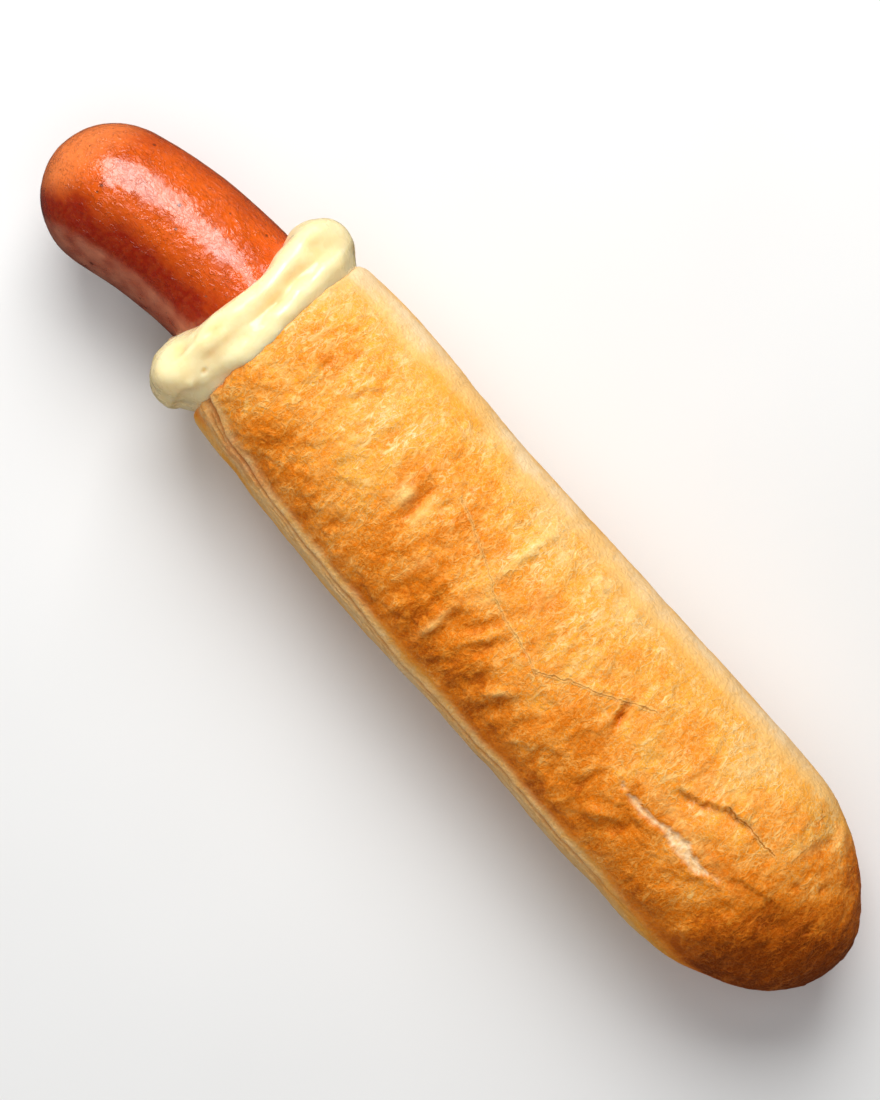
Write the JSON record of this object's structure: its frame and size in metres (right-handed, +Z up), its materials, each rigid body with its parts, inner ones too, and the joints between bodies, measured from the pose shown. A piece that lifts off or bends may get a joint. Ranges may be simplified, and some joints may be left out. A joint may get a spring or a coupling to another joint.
{
  "type": "hot dog",
  "caption": "Hollowed crusty roll with a sausage pushed in lengthwise and a collar of pale sauce round it at the cut mouth.",
  "frame": {"origin": "on the surface it lies on, under the middle of its bounding box", "axes": "+X along the food towards the sausage's tip, +Y towards the seam in the side of the crust, +Z up"},
  "size_m": [0.2319, 0.0523, 0.0451],
  "materials": {
    "crust": "baked golden crust, satin, finely crinkled",
    "sausage_skin": "grilled glossy skin, fine wrinkles and specks",
    "sauce": "thick pale yellow sauce, glossy"
  },
  "bodies": {
    "root": {"bun": "crust", "sausage": "sausage_skin", "sauce": "sauce"}
  },
  "joints": []
}
